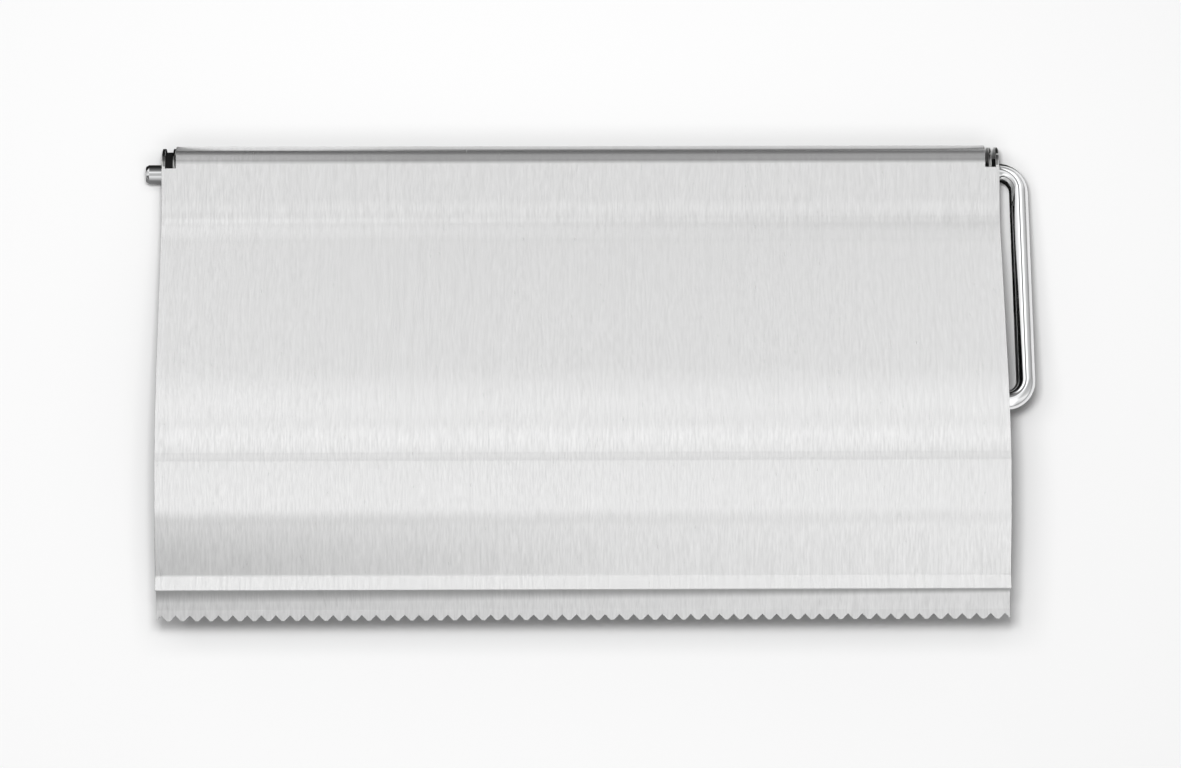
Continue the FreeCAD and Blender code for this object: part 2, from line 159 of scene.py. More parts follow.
class TowelHolderFinish(bpy.types.PropertyGroup):
    """Colours and finish of the materials."""

    steel: colour("Brushed steel", "Cover and strip", 0.86, 0.86, 0.86)
    mill_steel: colour("Mill steel", "Wall plate, as rolled", 0.68, 0.68, 0.675)
    # The tabs' dark colour is painted shade for the dark notches at the hood's ends, not a weld
    # colour
    tab_steel: colour("Shaded tab steel", "Hinge tabs, darkened by their welding", 0.30, 0.30, 0.295)
    chrome: colour("Chrome", "Bent rod", 0.86, 0.865, 0.87)
    nylon: colour("Nylon", "Bushes and stop cam", 0.004, 0.004, 0.004)
    # Painted shade on the hood's roll, standing in for the dark surround that it reflects
    painted_hood_shade: amount("Painted hood shade", "How much darker the hood's roll is than the brushed faces", 0.60)


class TowelHolderStudio(bpy.types.PropertyGroup):
    """The stage: wall, floor, light and camera."""

    wall: colour("Wall", "Wall behind the holder", 0.93, 0.93, 0.93)
    floor: colour("Floor", "Floor under the holder", 0.82, 0.82, 0.82)
    floor_drop: length("Floor drop", "Floor below the screws", 1300.0)
    focal: bpy.props.FloatProperty(
        name="Focal length", description="Lens for a 36 mm wide picture", default=149.37,
        unit="CAMERA")


# Small helpers for working in edit mode


def pick(mode, test):
    """Selects the vertices, edges or faces that pass the test, and nothing else."""
    bpy.ops.mesh.select_mode(type=mode)
    bpy.ops.mesh.select_all(action="DESELECT")
    mesh = bmesh.from_edit_mesh(bpy.context.object.data)
    for item in {"VERT": mesh.verts, "EDGE": mesh.edges, "FACE": mesh.faces}[mode]:
        if test(item):
            item.select_set(True)
    mesh.select_flush_mode()
    bmesh.update_edit_mesh(bpy.context.object.data)


def clear_selection():
    """Leaves nothing selected, so that an operator takes only what is added or picked next."""
    if bpy.context.object and bpy.context.object.mode != "OBJECT":
        bpy.ops.object.mode_set(mode="OBJECT")
    bpy.ops.object.select_all(action="DESELECT")


def only(piece):
    """Makes a piece the active object, alone in the selection."""
    clear_selection()
    piece.select_set(True)
    bpy.context.view_layer.objects.active = piece


def turned(direction, by):
    """A direction in the YZ plane, turned from Y towards Z."""
    return Matrix.Rotation(by, 3, "X") @ direction


def extrude(offset):
    """Pulls the selection out in a straight run and keeps its far end selected."""
    bpy.ops.mesh.extrude_region_move(TRANSFORM_OT_translate={"value": tuple(offset)})


def bend(centre, axis, by, steps):
    """Pulls the selection round a centre, right-handed about the axis, and keeps its end selected."""
    bpy.ops.mesh.spin(steps=steps, angle=-by, center=tuple(centre), axis=tuple(axis))


def tidy_mesh():
    """Merges doubles and turns every face outwards."""
    bpy.ops.mesh.select_all(action="SELECT")
    bpy.ops.mesh.remove_doubles(threshold=SAME_POINT)
    bpy.ops.mesh.normals_make_consistent(inside=False)


def modify(piece, kind, **settings):
    """Adds a modifier, sets it and applies it."""
    only(piece)
    bpy.ops.object.modifier_add(type=kind)
    modifier = piece.modifiers[-1]
    for name, value in settings.items():
        setattr(modifier, name, value)
    bpy.ops.object.modifier_apply(modifier=modifier.name)


SMOOTH_WITHIN = math.radians(40.0)  # faces that turn less than this are shaded as one


def round_edges(piece, width, sharper_than=50.0):
    """Rounds every edge that turns by more than the degrees given, then shades the piece smooth."""
    modify(piece, "BEVEL", width=width, segments=2, limit_method="ANGLE",
           angle_limit=math.radians(sharper_than), harden_normals=False, use_clamp_overlap=True)
    bpy.ops.object.shade_smooth_by_angle(angle=SMOOTH_WITHIN)
    modify(piece, "WEIGHTED_NORMAL", keep_sharp=True, weight=100)


def finish_piece(piece, body, nodes, material):
    """Dresses a piece and gives it its body, its material slot and the nodes that it stands for."""
    piece.data.materials.clear()
    piece.data.materials.append(material)
    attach(piece, body)
    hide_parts(*nodes)


# Folded sheet

BEND_STEP = 3.0  # degrees of turn in each facet of a bend
FEWEST_FACETS = 4  # in any bend


def bend_centre(point, direction, radius, turn):
    """Centre of the bend that starts at a point and turns the way on from it."""
    return point + turned(direction, math.copysign(math.pi / 2, turn)) * radius


def sheet_stations(start, heading, steps):
    """Point and direction before the first run or bend of a sheet's outer face, and after each."""
    point, direction = start, turned(Y_AXIS, heading)
    stations = [(point, direction)]
    for kind, size, turn in steps:
        if kind == "run":
            point = point + direction * size
        else:
            centre = bend_centre(point, direction, size, turn)
            point = centre + turned(point - centre, turn)
            direction = turned(direction, turn)
        stations.append((point, direction))
    return stations


def fold_sheet(name, start, heading, steps, left, right):
    """Draws an edge out along the runs and bends: the outer face of a folded sheet."""
    clear_selection()
    width = right - left
    bpy.ops.mesh.primitive_plane_add(size=width, enter_editmode=True, location=ORIGIN)
    piece = bpy.context.object
    piece.name = name
    pick("VERT", lambda vertex: vertex.co.y > 0.0)
    bpy.ops.mesh.delete(type="VERT")
    bpy.ops.mesh.select_all(action="SELECT")
    middle = (left + right) / 2
    bpy.ops.transform.translate(value=(middle, start.y + width / 2, start.z))
    bpy.ops.mesh.select_mode(type="EDGE")
    bpy.ops.mesh.select_all(action="SELECT")
    stations = sheet_stations(start, heading, steps)
    for (kind, size, turn), (point, direction) in zip(steps, stations):
        if kind == "run":
            extrude(direction * size)
        else:
            facets = max(FEWEST_FACETS, round(abs(math.degrees(turn)) / BEND_STEP))
            bend(bend_centre(point, direction, size, turn), X_AXIS, turn, facets)
    return piece


def cover_steps(sizes):
    """Runs and bends of the cover, from the hood's rear edge down to the lip."""
    crease = sizes.slope - sizes.sweep
    neck_depth = sizes.neck_radius * (1 - math.cos(sizes.slope))
    sweep_depth = sizes.sweep_radius * (math.cos(crease) - math.cos(sizes.slope))
    crease_depth = sizes.belly_radius * (1 - math.cos(crease))
    slope_depth = sizes.belly_depth - neck_depth - sweep_depth - crease_depth
    hood_drop = sizes.hood_above - sizes.hood_radius
    return [
        ("run", sizes.hood_tail + sizes.ahead - sizes.hood_radius, 0.0),
        ("bend", sizes.hood_radius, math.pi / 2),
        ("run", hood_drop + sizes.neck_below, 0.0),
        ("bend", sizes.neck_radius, -sizes.slope),
        ("run", slope_depth / math.sin(sizes.slope), 0.0),
        ("bend", sizes.sweep_radius, sizes.sweep),
        ("bend", sizes.belly_radius, crease),
        ("run", sizes.belly_height, 0.0),
        ("bend", sizes.tuck_radius, sizes.tuck),
        ("run", sizes.tuck_length, 0.0),
        ("bend", sizes.lip_radius, -sizes.tuck - sizes.lip),
        ("run", sizes.lip_length, 0.0),
    ]


TUCK_TOP = -4  # the station where the flat tuck starts, counted back from the lip's end


def cover_start(sizes):
    """The hood's rear edge."""
    return Vector((0.0, AXLE.y + sizes.hood_tail, AXLE.z + sizes.hood_above))


def face_the_room(test):
    """Turns an open sheet's faces so that those that pass the test look into the room."""
    bpy.ops.mesh.select_mode(type="FACE")
    tidy_mesh()
    mesh = bmesh.from_edit_mesh(bpy.context.object.data)
    if any(face.normal.y > 0.0 for face in mesh.faces if test(face)):
        bpy.ops.mesh.flip_normals()


def build_cover(sizes):
    """Hinged cover: a folded sheet with a notch at each end of the hood."""
    steps = cover_steps(sizes)
    cover = fold_sheet("hinged_cover", cover_start(sizes), math.pi, steps, -HALF_WIDTH, HALF_WIDTH)
    neck_y = AXLE.y - sizes.ahead
    face_the_room(lambda face: abs(face.calc_center_median().y - neck_y) < NEARLY)
    notch_x = HALF_WIDTH - sizes.notch_width
    notch_z = AXLE.z + sizes.notch_above
    for place, normal in ((-X_AXIS * notch_x, X_AXIS), (X_AXIS * notch_x, X_AXIS),
                          (Z_AXIS * notch_z, Z_AXIS)):
        bpy.ops.mesh.select_all(action="SELECT")
        bpy.ops.mesh.bisect(plane_co=place, plane_no=normal)

    def in_notch(face):
        centre = face.calc_center_median()
        return abs(centre.x) > notch_x and centre.z > notch_z

    pick("FACE", in_notch)
    bpy.ops.mesh.delete(type="FACE")
    bpy.ops.object.mode_set(mode="OBJECT")
    modify(cover, "SOLIDIFY", thickness=sizes.thickness, offset=-1.0, use_even_offset=True)
    round_edges(cover, sizes.edge_round)
    return cover


def build_strip(sizes, cover_sizes):
    """Serrated strip: one tooth cell, repeated along the edge and trimmed at both ends."""
    stations = sheet_stations(cover_start(cover_sizes), math.pi, cover_steps(cover_sizes))
    tuck_top, tuck_down = stations[TUCK_TOP]
    inwards = turned(tuck_down, math.pi / 2)
    start = tuck_top + inwards * cover_sizes.thickness + tuck_down * sizes.start
    heading = math.atan2(tuck_down.z, tuck_down.y)
    steps = [
        ("run", sizes.flat, 0.0),
        ("bend", sizes.nose_radius, -sizes.nose),
        ("run", sizes.nose_length, 0.0),
    ]
    count = round(2 * STRIP_HALF / sizes.pitch)
    first = -(count - 1) / 2 * sizes.pitch
    half = sizes.pitch / 2
    strip = fold_sheet("serrated_strip", start, heading, steps, first - half, first + half)
    face_the_room(lambda face: True)
    for offset in (-sizes.depth, 0.0, sizes.depth):
        bpy.ops.mesh.select_all(action="SELECT")
        bpy.ops.mesh.bisect(plane_co=(first + offset, 0.0, 0.0), plane_no=X_AXIS)
    tip, tip_down = sheet_stations(start, heading, steps)[-1]
    pick("VERT", lambda vertex: abs(vertex.co.x - first) < NEARLY and vertex.co.z - tip.z < NEARLY)
    bpy.ops.transform.translate(value=tuple(tip_down * (sizes.depth / tip_down.z)))
    bpy.ops.object.mode_set(mode="OBJECT")
    modify(strip, "ARRAY", count=count, use_relative_offset=False, use_constant_offset=True,
           constant_offset_displace=(sizes.pitch, 0.0, 0.0), use_merge_vertices=True,
           merge_threshold=NEARLY)
    bpy.ops.object.mode_set(mode="EDIT")
    for side in (-1.0, 1.0):
        bpy.ops.mesh.select_all(action="SELECT")
        bpy.ops.mesh.bisect(
            plane_co=(side * STRIP_HALF, 0.0, 0.0), plane_no=X_AXIS * side, clear_outer=True)
    bpy.ops.object.mode_set(mode="OBJECT")
    modify(strip, "SOLIDIFY", thickness=sizes.thickness, offset=-1.0, use_even_offset=True)
    round_edges(strip, sizes.edge_round)
    return strip


# Bent rod

ROD_SIDES = 64
ROD_BEND_STEPS = 28
ROD_END_ROUND = 0.12 * MM


def build_rod(sizes):
    """One rod: chamfered axle, two bends, side limb and the leg, pulled out from its left end."""
    clear_selection()
    radius = sizes.diameter / 2
    end_radius = radius - sizes.chamfer_depth
    swell = radius / end_radius
    bpy.ops.mesh.primitive_circle_add(
        vertices=ROD_SIDES, radius=end_radius, fill_type="NGON", enter_editmode=True, location=ORIGIN)
    rod = bpy.context.object
    rod.name = "bent_rod"
    bpy.ops.transform.rotate(value=math.pi / 2, orient_axis="Y", center_override=ORIGIN)
    bpy.ops.transform.translate(value=(AXLE_END, AXLE.y, AXLE.z))
    down = turned(-Z_AXIS, -sizes.tilt)
    side = X_AXIS.cross(down)

    def chamfer(direction, centre, scale):
        extrude(direction * sizes.chamfer_length)
        bpy.ops.transform.resize(value=(scale,) * 3, center_override=tuple(centre))

    limb_start = RIGHT_EAR + sizes.limb_clear
    corner = Vector((limb_start, AXLE.y, AXLE.z))
    chamfer(X_AXIS, (AXLE_END + sizes.chamfer_length, AXLE.y, AXLE.z), swell)
    extrude(X_AXIS * (limb_start - AXLE_END - sizes.chamfer_length))
    bend(corner + down * sizes.bend_radius, side, math.pi / 2, ROD_BEND_STEPS)
    extrude(down * (sizes.drop - 2 * sizes.bend_radius))
    bend(corner + down * (sizes.drop - sizes.bend_radius), side, math.pi / 2, ROD_BEND_STEPS)
    extrude(X_AXIS * (-limb_start - sizes.leg_end + sizes.chamfer_length))
    leg_end = Vector((-sizes.leg_end, AXLE.y, AXLE.z)) + down * sizes.drop
    chamfer(-X_AXIS, leg_end, 1 / swell)
    tidy_mesh()
    bpy.ops.object.mode_set(mode="OBJECT")
    round_edges(rod, ROD_END_ROUND, sharper_than=30.0)
    return rod


# Pieces whose packed shape is right: merged copies with rounded edges

FLAT_WITHIN = math.radians(0.5)  # faces that turn less than this become one
PLATE_ROUND = 0.12 * MM
TAB_ROUND = 0.10 * MM
MOULDING_ROUND = 0.08 * MM


def dressed_copy(node, name, edge_round):
    """A merged copy of a CAD node with its edges rounded."""
    source = frame["nodes"][node]
    piece = bpy.data.objects.new(name, source.data.copy())
    bpy.context.scene.collection.objects.link(piece)
    only(piece)
    bpy.ops.mesh.customdata_custom_splitnormals_clear()
    bpy.ops.object.mode_set(mode="EDIT")
    bpy.ops.mesh.select_all(action="SELECT")
    bpy.ops.mesh.remove_doubles(threshold=SAME_POINT)
    bpy.ops.mesh.dissolve_limited(angle_limit=FLAT_WITHIN)
    bpy.ops.object.mode_set(mode="OBJECT")
    round_edges(piece, edge_round)
    return piece


# Shader groups


def fill_sockets(tree, node, values):
    """Gives a node's sockets their values or links."""
    for socket, value in values.items():
        if isinstance(value, bpy.types.NodeSocket):
            tree.links.new(value, node.inputs[socket])
        else:
            node.inputs[socket].default_value = value


def add_node(tree, kind, inputs=None, **settings):
    """Adds a node, sets it up and fills its sockets."""
    node = tree.nodes.new(kind)
    for name, value in settings.items():
        setattr(node, name, value)
    fill_sockets(tree, node, inputs or {})
    return node


def maths(tree, operation, *values, clamp=False):
    """A Math node's result."""
    node = add_node(tree, "ShaderNodeMath", dict(enumerate(values)), operation=operation)
    node.use_clamp = clamp
    return node.outputs[0]


def mapped(tree, value, low, high, to_low, to_high, smooth=False):
    """A value mapped from one range to another and held inside it."""
    node = add_node(tree, "ShaderNodeMapRange", {
        "Value": value, "From Min": low, "From Max": high, "To Min": to_low, "To Max": to_high})
    node.interpolation_type = "SMOOTHSTEP" if smooth else "LINEAR"
    node.clamp = True
    return node.outputs["Result"]


def ramp(tree, factor, stops):
    """A colour ramp's colour for a factor, from (place, grey) stops."""
    node = add_node(tree, "ShaderNodeValToRGB", {"Fac": factor})
    elements = node.color_ramp.elements
    while len(elements) > 1:
        elements.remove(elements[-1])
    for index, (place, grey) in enumerate(stops):
        element = elements[0] if index == 0 else elements.new(place)
        element.position = place
        element.color = (grey, grey, grey, 1.0)
    return node.outputs["Color"]


def new_group(name, inputs, outputs):
    """An empty shader group with named sockets: what it is given, and what it puts out."""
    group = bpy.data.node_groups.new(name, "ShaderNodeTree")
    for title, kind, default in inputs:
        socket = group.interface.new_socket(title, in_out="INPUT", socket_type=kind)
        if default is not None:
            socket.default_value = default
    for title in outputs:
        group.interface.new_socket(title, in_out="OUTPUT", socket_type="NodeSocketFloat")
    start = group.nodes.new("NodeGroupInput")
    end = group.nodes.new("NodeGroupOutput")
    return group, start.outputs, end.inputs


# Noise of the grain: features to the metre across the lines and along them, detail and seed
HAIRLINES = (2100.0, 260.0, 2.0, 1.3)
BUNDLES = (900.0, 45.0, 2.0, 4.1)
SCRATCHES = (1700.0, 220.0, 1.0, 7.7)
CLOUDS = (14.0, 9.0, 2.0, 2.9)
SEED_STEPS = (1.0, 0.37, 0.71)  # how a seed shifts the noise along X, Y and Z
DEEP_SCRATCHES = (0.68, 0.80, 0.0, 0.7)  # only the peaks of the scratch noise cut the sheet
BUNDLE_SHARE = 0.45
SCRATCH_SHADE = 0.5
MEAN = 0.5  # middle of a noise and of the grain's tone


def stretched_noise(tree, vector, direction, across, along, detail, seed):
    """Noise drawn out into lines along X or Z."""
    if direction == "X":
        scale = (along, across, across)
    else:
        scale = (across, along, along)
    mapping = add_node(tree, "ShaderNodeMapping", {
        "Vector": vector, "Location": tuple(seed * step for step in SEED_STEPS), "Scale": scale})
    noise = add_node(tree, "ShaderNodeTexNoise", {
        "Vector": mapping.outputs["Vector"], "Scale": 1.0, "Detail": detail, "Roughness": 0.6})
    return noise.outputs["Fac"]


def grain_group(name, direction):
    """Belt-brushed grain: fine hairlines, longer scratches and a slow change of tone."""
    group, given, result = new_group(
        name,
        [("Vector", "NodeSocketVector", None), ("Hairline contrast", "NodeSocketFloat", 1.0),
         ("Scratch contrast", "NodeSocketFloat", 1.0)],
        ["Tone", "Height", "Cloud"])
    hair, bundle, scratch, cloud = (
        stretched_noise(group, given["Vector"], direction, *noise)
        for noise in (HAIRLINES, BUNDLES, SCRATCHES, CLOUDS))
    deep = mapped(group, scratch, *DEEP_SCRATCHES)
    fine = maths(group, "MULTIPLY", maths(group, "SUBTRACT", hair, MEAN), given["Hairline contrast"])
    broad = maths(group, "MULTIPLY", maths(group, "SUBTRACT", bundle, MEAN), BUNDLE_SHARE)
    cut = maths(group, "MULTIPLY", deep, given["Scratch contrast"])
    lines = maths(group, "ADD", fine, broad)
    shading = maths(group, "MULTIPLY", cut, SCRATCH_SHADE)
    tone = maths(group, "SUBTRACT", maths(group, "ADD", lines, MEAN), shading)
    group.links.new(tone, result["Tone"])
    group.links.new(maths(group, "SUBTRACT", lines, cut), result["Height"])
    group.links.new(cloud, result["Cloud"])
    return group


HAZE_RANGE = (0.35, 0.7, 0.0, 1.0)


def haze_group():
    """Faint haze and handling marks, as a mask."""
    group, given, result = new_group(
        "Handling haze",
        [("Vector", "NodeSocketVector", None), ("Size", "NodeSocketFloat", 60.0)],
        ["Haze"])
    soft = add_node(group, "ShaderNodeTexNoise", {
        "Vector": given["Vector"], "Scale": given["Size"], "Detail": 4.0, "Roughness": 0.55})
    group.links.new(mapped(group, soft.outputs["Fac"], *HAZE_RANGE), result["Haze"])
    return group


# Materials


def new_material(name):
    """An empty material: its node tree, its Principled shader and the piece's own coordinates."""
    material = bpy.data.materials.new(name)
    material.use_nodes = True
    tree = material.node_tree
    tree.nodes.clear()
    shader = tree.nodes.new("ShaderNodeBsdfPrincipled")
    output = tree.nodes.new("ShaderNodeOutputMaterial")
    tree.links.new(shader.outputs["BSDF"], output.inputs["Surface"])
    place = add_node(tree, "ShaderNodeTexCoord").outputs["Object"]
    return material, tree, shader, place


def grey_mix(tree, factor, first, second):
    """A mix of two colours by a factor."""
    node = add_node(tree, "ShaderNodeMix", {"Factor": factor}, data_type="RGBA")
    for socket, value in ((node.inputs[6], first), (node.inputs[7], second)):
        if isinstance(value, bpy.types.NodeSocket):
            tree.links.new(value, socket)
        else:
            socket.default_value = (*value[:3], 1.0)
    return node.outputs[2]


def shade(rgb, factor):
    """A colour made darker or lighter."""
    return tuple(min(1.0, channel * factor) for channel in rgb)


def add_group(tree, group, place, values):
    """A shader group's outputs over a piece."""
    return add_node(tree, "ShaderNodeGroup", {"Vector": place, **values}, node_tree=group).outputs


def add_grain(tree, group, place, contrast):
    """A grain's outputs over a piece, its hairlines and scratches at one contrast."""
    return add_group(
        tree, group, place, {"Hairline contrast": contrast, "Scratch contrast": contrast})


def raised(tree, height, strength, distance):
    """The normal of a surface raised by a height."""
    return add_node(tree, "ShaderNodeBump", {
        "Height": height, "Strength": strength, "Distance": distance}).outputs["Normal"]


# Places of the painted shade as ranges of height or of X, each followed by the values at its two ends
HOOD_LEFT_SHADE = (-0.125, -0.05, 0.72, 1.0)  # the hood's painted shade is weaker at its left end
# Painted shade on the neck's bend and on the tuck, stronger towards the left on the tuck
NECK_TOP = (AXLE.z - 12.7 * MM, AXLE.z - 14.6 * MM, 0.0, 1.0)
NECK_FOOT = (AXLE.z - 22.6 * MM, AXLE.z - 16.2 * MM, 0.0, 1.0)
NECK_SHADE = (-HALF_WIDTH, HALF_WIDTH, 0.07, 0.20)
TUCK_HEIGHTS = (COVER_FOOT + 28.7 * MM, COVER_FOOT + 5.5 * MM, 0.0, 1.0)
TUCK_END = (COVER_FOOT + 4.3 * MM, COVER_FOOT + 5.1 * MM, 0.0, 1.0)
TUCK_SHADE = (-HALF_WIDTH, 0.1 * HALF_WIDTH, 0.26, 0.07)
HOOD_EDGE = (-0.4 * MM, 1.1 * MM)  # heights above the foot of the hood's roll
HOOD_TOP = (2.2 * MM, 3.8 * MM)
HOOD_TOP_SHADE = 0.35
# Painted shade on the strip under the cover's lip, standing in for the lip's shadow
LIP_SHADE_REACH = (5.5 * MM, 1.6 * MM)  # at the left end and at the right end
LIP_SHADE_FADING = (0.05, 1.0, 0.56, 0.0)  # down through the reach
STRIP_LEFT_SHADE = (-HALF_WIDTH, 0.2 * HALF_WIDTH, 0.14, 0.0)


def hood_shade_mask(tree, spot, foot, most):
    """Painted shade on the hood's roll, for the dark surround that it reflects: less on its top and
    at its left end.
    """
    painted_shade = mapped(tree, spot["Z"], *(foot + edge for edge in HOOD_EDGE), 0.0, most, smooth=True)
    painted_shade = maths(tree, "MULTIPLY", painted_shade, mapped(tree, spot["X"], *HOOD_LEFT_SHADE))
    spared = mapped(
        tree, spot["Z"], *(foot + edge for edge in HOOD_TOP), 1.0, HOOD_TOP_SHADE, smooth=True)
    return maths(tree, "MULTIPLY", painted_shade, spared)


def bend_shade_mask(tree, spot, start, end, strength):
    """Painted shade on a bend: between two heights, with a strength that changes along X."""
    within = maths(tree, "MULTIPLY", mapped(tree, spot["Z"], *start, smooth=True),
                   mapped(tree, spot["Z"], *end, smooth=True))
    return maths(tree, "MULTIPLY", within, mapped(tree, spot["X"], *strength))


def lip_shade_mask(tree, spot, foot):
    """Painted shade on the strip under the cover's lip: most just below the cover's foot, further
    down on the left, and faint over its left half.
    """
    reach = mapped(tree, spot["X"], -HALF_WIDTH, HALF_WIDTH, *LIP_SHADE_REACH)
    below = maths(tree, "DIVIDE", maths(tree, "SUBTRACT", foot, spot["Z"]), reach)
    fading = mapped(tree, below, *LIP_SHADE_FADING, smooth=True)
    return maths(tree, "MAXIMUM", fading, mapped(tree, spot["X"], *STRIP_LEFT_SHADE))


LINE_SHADES = (0.84, 1.12)  # of the steel's colour, in the lines and between them
CLOUD_RANGE = (0.3, 0.7, 0.0, 0.35)
CLOUD_SHADE = 0.97
PAINTED_SHADE = 0.05  # of the steel's colour: painted shade, where it is at its full strength
TONE_RANGE = (0.1, 0.9)  # of the grain, over which the roughness swings
ROUGHNESS_SWING = 0.03


def brushed_material(name, groups, finish, roughness, contrast, hood_foot=None, lip_shade_from=None):
    """Stainless sheet, brushed up and down, with a clear soft sheen.

    The cover's hood, neck and tuck, and the strip below the cover, are darkened with painted shade.
    """
    material, tree, shader, place = new_material(name)
    grain = add_grain(tree, groups["upright grain"], place, contrast)
    spot = add_node(tree, "ShaderNodeSeparateXYZ", {"Vector": place}).outputs
    steel = finish.steel
    painted_shade = shade(steel, PAINTED_SHADE)
    lines = grey_mix(tree, maths(tree, "ADD", grain["Tone"], 0.0, clamp=True),
                     *(shade(steel, line) for line in LINE_SHADES))
    clouds = mapped(tree, grain["Cloud"], *CLOUD_RANGE)
    tint = grey_mix(tree, clouds, lines, shade(steel, CLOUD_SHADE))
    # Painted shade on the hood, the neck's bend and the tuck
    if hood_foot is not None:
        tint = grey_mix(tree, hood_shade_mask(tree, spot, hood_foot, finish.painted_hood_shade), tint, painted_shade)
        neck = bend_shade_mask(tree, spot, NECK_TOP, NECK_FOOT, NECK_SHADE)
        tuck = bend_shade_mask(tree, spot, TUCK_HEIGHTS, TUCK_END, TUCK_SHADE)
        tint = grey_mix(tree, maths(tree, "MAXIMUM", neck, tuck), tint, painted_shade)
    # Painted shade on the strip under the cover's lip
    if lip_shade_from is not None:
        tint = grey_mix(tree, lip_shade_mask(tree, spot, lip_shade_from), tint, painted_shade)
    fill_sockets(tree, shader, {
        "Base Color": tint,
        "Roughness": mapped(tree, grain["Tone"], *TONE_RANGE, roughness + ROUGHNESS_SWING,
                            roughness - ROUGHNESS_SWING),
        "Metallic": 1.0,
        "Anisotropic": 1.0,
        "Tangent": add_node(tree, "ShaderNodeCombineXYZ", {"X": 1.0}).outputs["Vector"],
        "Normal": raised(tree, grain["Height"], strength=0.12, distance=0.004 * MM),
    })
    return material


MILL_SHADES = (0.9, 1.08)
MILL_HAZE = 0.4
MILL_HAZE_SHADE = 0.86
MILL_ROUGHNESS = (0.09, 0.15)  # clear, and under the haze


def mill_material(name, groups, steel):
    """Sheet as rolled: smooth, with long faint roll lines."""
    material, tree, shader, place = new_material(name)
    grain = add_grain(tree, groups["level grain"], place, contrast=0.6)
    haze = add_group(tree, groups["haze"], place, {"Size": 45.0})["Haze"]
    lines = grey_mix(tree, grain["Tone"], *(shade(steel, line) for line in MILL_SHADES))
    hazed = maths(tree, "MULTIPLY", haze, MILL_HAZE)
    fill_sockets(tree, shader, {
        "Base Color": grey_mix(tree, hazed, lines, shade(steel, MILL_HAZE_SHADE)),
        "Roughness": mapped(tree, haze, 0.0, 1.0, *MILL_ROUGHNESS),
        "Metallic": 1.0,
        "Anisotropic": 0.3,
        "Normal": raised(tree, grain["Height"], strength=0.3, distance=0.004 * MM),
    })
    return material


CHROME_HAZE_SHADE = 0.95
CHROME_ROUGHNESS = (0.005, 0.02)  # clear, and under the haze


def chrome_material(groups, finish):
    """Polished plated rod with the faintest haze and drawing lines along it."""
    material, tree, shader, place = new_material("Polished rod")
    grain = add_grain(tree, groups["level grain"], place, contrast=1.0)
    haze = add_group(tree, groups["haze"], place, {"Size": 120.0})["Haze"]
    fill_sockets(tree, shader, {
        "Base Color": grey_mix(
            tree, haze, finish.chrome, shade(finish.chrome, CHROME_HAZE_SHADE)),
        "Roughness": mapped(tree, haze, 0.0, 1.0, *CHROME_ROUGHNESS),
        "Metallic": 1.0,
        "Normal": raised(tree, grain["Height"], strength=0.12, distance=0.002 * MM),
    })
    return material


NYLON_RUB_SHADE = 2.4
NYLON_ROUGHNESS = (0.42, 0.58)


def nylon_material(groups, finish):
    """Moulded black nylon: satin, with a fine moulded skin and slight rub marks."""
    material, tree, shader, place = new_material("Black nylon")
    haze = add_group(tree, groups["haze"], place, {"Size": 300.0})["Haze"]
    skin = add_node(tree, "ShaderNodeTexNoise", {"Vector": place, "Scale": 5200.0, "Detail": 2.0})
    fill_sockets(tree, shader, {
        "Base Color": grey_mix(tree, haze, finish.nylon, shade(finish.nylon, NYLON_RUB_SHADE)),
        "Roughness": mapped(tree, haze, 0.0, 1.0, *NYLON_ROUGHNESS),
        "Specular IOR Level": 0.15,
        "Normal": raised(tree, skin.outputs["Fac"], strength=0.4, distance=0.02 * MM),
    })
    return material


COVER_ROUGHNESS = 0.25
STRIP_ROUGHNESS = 0.34
COVER_CONTRAST = 1.0
STRIP_CONTRAST = 1.2


def make_materials():
    """All finishes of the holder, made once."""
    groups = {
        "upright grain": grain_group("Upright grain", "Z"),
        "level grain": grain_group("Level grain", "X"),
        "haze": haze_group(),
    }
    finish = bpy.context.scene.towel_holder_finish
    cover = bpy.context.scene.towel_holder_cover
    hood_foot = AXLE.z + cover.hood_above - cover.hood_radius
    return {
        "cover": brushed_material("Brushed cover steel", groups, finish, COVER_ROUGHNESS,
                                  COVER_CONTRAST, hood_foot=hood_foot),
        "strip": brushed_material("Brushed strip steel", groups, finish, STRIP_ROUGHNESS,
                                  STRIP_CONTRAST, lip_shade_from=COVER_FOOT),
        "plate": mill_material("Mill finish wall plate", groups, finish.mill_steel),
        # Tab steel painted dark as shade for the notches
        "tab": mill_material("Hinge tab steel, painted shade", groups, finish.tab_steel),
        "rod": chrome_material(groups, finish),
        "nylon": nylon_material(groups, finish),
    }


MATERIALS = {}


def material(name):
    """A finish by name."""
    if not MATERIALS:
        MATERIALS.update(make_materials())
    return MATERIALS[name]


# Stage

ONE_BOUNCE = 0.5  # a ray's depth is above this once it has met a surface of that kind
TWO_BOUNCES = 1.5
TOUCHING = 2.0 * MM  # metal nearer to the wall than this looks through it
WALL_REFLECTION_DARK = 0.02

# The wall's colour in the metal's reflections is painted: dark, with painted reflections in three
# parts. Each range of X or height is followed, where it has four numbers, by the values at its two
# ends.
# Bright to the right of the limb and its upper bend
BELOW_AXLE = (0.016, 0.022)
RIGHT_OF_LIMB = (0.134, 0.138)
RIGHT_OF_BEND = (0.140, 0.150)
# Grey below the axle's left end
LEFT_OF_EAR = (-0.122, -0.127)
LEFT_GREY = 0.2
# Bright behind the hood, fading upwards and away from its left end
NOTCHES_MIDDLE = 0.0025
INSIDE_NOTCHES = (0.1255, 0.1285)
HOOD_GLOW = (0.06, 0.12, 0.85, 0.22)
LEFT_GLOW = (-0.12, -0.05, 0.70, 0.0)


